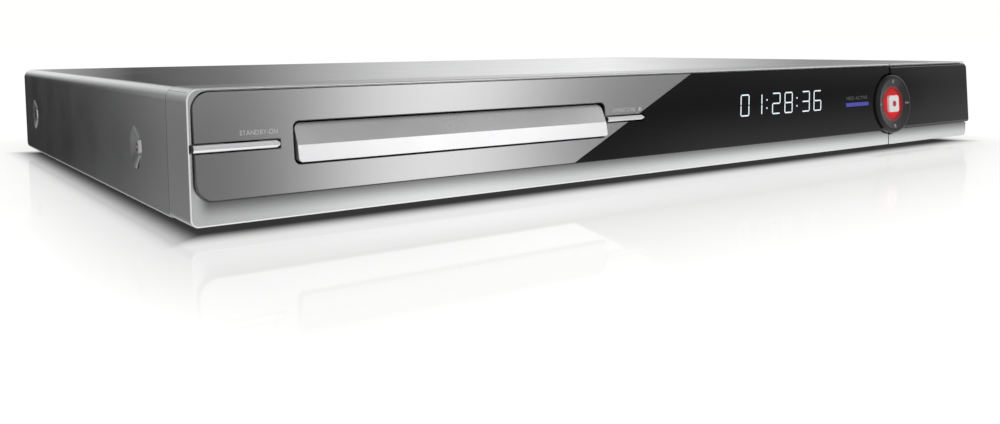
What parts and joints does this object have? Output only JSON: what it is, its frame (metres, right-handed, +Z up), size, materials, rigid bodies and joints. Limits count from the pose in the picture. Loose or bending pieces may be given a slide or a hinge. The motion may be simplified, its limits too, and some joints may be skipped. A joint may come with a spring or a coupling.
{
  "type": "disc recorder",
  "caption": "Slim set-top disc recorder with a motorised disc tray, a leaning two-tone front, a round direction pad around the record button, and a flip-down socket door",
  "frame": {"origin": "centre of the bottom of the bounding box, on the floor under the feet", "axes": "+X right as seen from the front, +Y from front to rear, +Z up"},
  "size_m": [0.435, 0.2966, 0.0451],
  "materials": {
    "silver_paint": "satin",
    "plated_steel": "satin",
    "foot_rubber": "matte",
    "black_plastic": "matte",
    "nickel": "polished",
    "tin_plate": "satin",
    "silver_plastic": "satin",
    "silver_fascia": "satin",
    "black_fascia": "gloss",
    "grey_plastic": "satin",
    "red_lens": "gloss",
    "white_plastic": "satin",
    "circuit_board": "satin",
    "tube_glass": "gloss",
    "blue_lens": "gloss",
    "belt_rubber": "matte",
    "polished_steel": "polished",
    "cast_metal": "satin",
    "mirror_disc": "polished",
    "power_laminate": "satin",
    "dark_parts": "satin",
    "ribbon_vinyl": "matte",
    "silver_screw": "satin"
  },
  "bodies": {
    "chassis": {"top_cover": "silver_paint", "chassis_pan": "plated_steel", "feet": "foot_rubber", "rear_panel": "plated_steel", "rear_rca_block": "black_plastic", "rear_rca_shells": "nickel", "scart_sockets": "black_plastic", "tuner": "tin_plate", "mains_inlet": "black_plastic", "inlet_pins": "nickel", "fan_frame": "black_plastic", "front_bezel": "silver_plastic", "fascia_plate": "silver_fascia", "front_boards": "circuit_board", "tact_switches": "black_plastic", "display_tube": "tube_glass", "hdd_light_bar": "blue_lens", "front_rca_shells": "nickel", "front_rca_plugs": "white_plastic", "serial_sockets": "nickel", "s_video_socket": "black_plastic", "loading_motor": "tin_plate", "loading_belt": "belt_rubber", "drive_base": "black_plastic", "drive_cover": "plated_steel", "hdd_base": "cast_metal", "hdd_lid": "tin_plate", "main_board": "circuit_board", "main_chips": "black_plastic", "heatsink": "cast_metal", "power_board": "power_laminate", "power_parts": "dark_parts", "board_connectors": "white_plastic", "ribbon_cables": "ribbon_vinyl", "cover_screws": "silver_screw"},
    "tray": {"disc_tray": "black_plastic", "tray_front": "silver_plastic"},
    "gear": {"drive_gear": "white_plastic"},
    "pulley": {"motor_pulley": "white_plastic"},
    "cam": {"cam_slider": "white_plastic"},
    "traverse_plate": {"traverse": "plated_steel", "guide_rods": "polished_steel", "traverse_motors": "tin_plate"},
    "sled": {"pickup_sled": "cast_metal"},
    "screw": {"lead_screw": "polished_steel"},
    "spindle": {"turntable": "grey_plastic"},
    "puck": {"clamp_puck": "black_plastic"},
    "fan": {"fan_rotor": "black_plastic"},
    "platters": {"hdd_platters": "mirror_disc"},
    "arm": {"hdd_actuator": "cast_metal"},
    "door": {"front_door": "silver_plastic", "door_fascia": "black_fascia", "door_hinge_pins": "nickel"},
    "standby_key": {"standby_button": "silver_plastic"},
    "open_key": {"open_close_button": "silver_plastic"},
    "record_key": {"record_button": "white_plastic"},
    "gimbal": {"nav_gimbal": "grey_plastic"},
    "pad": {"nav_pad": "black_fascia", "record_light_ring": "red_lens"}
  },
  "joints": [
    {"name": "tray_slide", "type": "slide", "parent": "chassis", "child": "tray", "axis": [0, -1, 0], "range_m": [0, 0.135]},
    {"name": "gear_spin", "type": "hinge", "parent": "chassis", "child": "gear", "pos_m": [-0.16637, -0.1081, 0.0206], "axis": [0, 0, 1], "range_deg": [0, 968]},
    {"name": "pulley_spin", "type": "hinge", "parent": "chassis", "child": "pulley", "pos_m": [-0.12637, -0.1081, 0.0196], "axis": [0, 0, 1], "range_deg": [0, 2902]},
    {"name": "traverse_tilt", "type": "hinge", "parent": "chassis", "child": "traverse_plate", "pos_m": [-0.12, 0.0139, 0.0176], "axis": [1, 0, 0], "range_deg": [0, 3.6]},
    {"name": "cam_slide", "type": "slide", "parent": "chassis", "child": "cam", "axis": [-1, 0, 0], "range_m": [0, 0.01801]},
    {"name": "sled_slide", "type": "slide", "parent": "traverse_plate", "child": "sled", "axis": [0, 1, 0], "range_m": [0, 0.036]},
    {"name": "screw_spin", "type": "hinge", "parent": "traverse_plate", "child": "screw", "pos_m": [-0.089, -0.0441, 0.0195], "axis": [0, 1, 0], "range_deg": [0, 8102]},
    {"name": "spindle_spin", "type": "hinge", "parent": "traverse_plate", "child": "spindle", "pos_m": [-0.12, -0.0721, 0.0276], "axis": [0, 0, 1], "continuous": true},
    {"name": "puck_spin", "type": "hinge", "parent": "chassis", "child": "puck", "pos_m": [-0.12, -0.0721, 0.0316], "axis": [0, 0, 1], "continuous": true},
    {"name": "fan_spin", "type": "hinge", "parent": "chassis", "child": "fan", "pos_m": [0.145, 0.1319, 0.0237], "axis": [0, 1, 0], "continuous": true},
    {"name": "platter_spin", "type": "hinge", "parent": "chassis", "child": "platters", "pos_m": [0.1533, 0.0614, 0.0236], "axis": [0, 0, 1], "continuous": true},
    {"name": "arm_swing", "type": "hinge", "parent": "chassis", "child": "arm", "pos_m": [0.1841, -0.0001, 0.0236], "axis": [0, 0, 1], "range_deg": [0, 20]},
    {"name": "door_swing", "type": "hinge", "parent": "chassis", "child": "door", "pos_m": [0.1795, -0.1396, 0.0076], "axis": [1, 0, 0], "range_deg": [0, 90]},
    {"name": "standby_press", "type": "slide", "parent": "chassis", "child": "standby_key", "axis": [0, 0.9968, -0.0797], "range_m": [0, 0.0006], "stiffness_N_per_m": 1500},
    {"name": "open_press", "type": "slide", "parent": "chassis", "child": "open_key", "axis": [0, 0.9968, -0.0797], "range_m": [0, 0.0006], "stiffness_N_per_m": 1500},
    {"name": "pad_tilt", "type": "hinge", "parent": "chassis", "child": "gimbal", "pos_m": [0.1417, -0.13922, 0.02418], "axis": [1, 0, 0], "range_deg": [-2, 2], "stiffness_Nm_per_rad": 0.3},
    {"name": "pad_rock", "type": "hinge", "parent": "gimbal", "child": "pad", "pos_m": [0.1417, -0.13922, 0.02418], "axis": [0, 0.0797, 0.9968], "range_deg": [-2, 2], "stiffness_Nm_per_rad": 0.3},
    {"name": "record_press", "type": "slide", "parent": "pad", "child": "record_key", "axis": [0, 0.9968, -0.0797], "range_m": [0, 0.0006], "stiffness_N_per_m": 1000}
  ],
  "couplings": [
    {"joint": "gear_spin", "follows": "tray_slide", "rad_per_m": 125},
    {"joint": "pulley_spin", "follows": "tray_slide", "rad_per_m": 375},
    {"joint": "cam_slide", "follows": "traverse_tilt", "m_per_rad": 0.28648},
    {"joint": "screw_spin", "follows": "sled_slide", "rad_per_m": 3927},
    {"joint": "puck_spin", "follows": "spindle_spin", "ratio": 1}
  ]
}
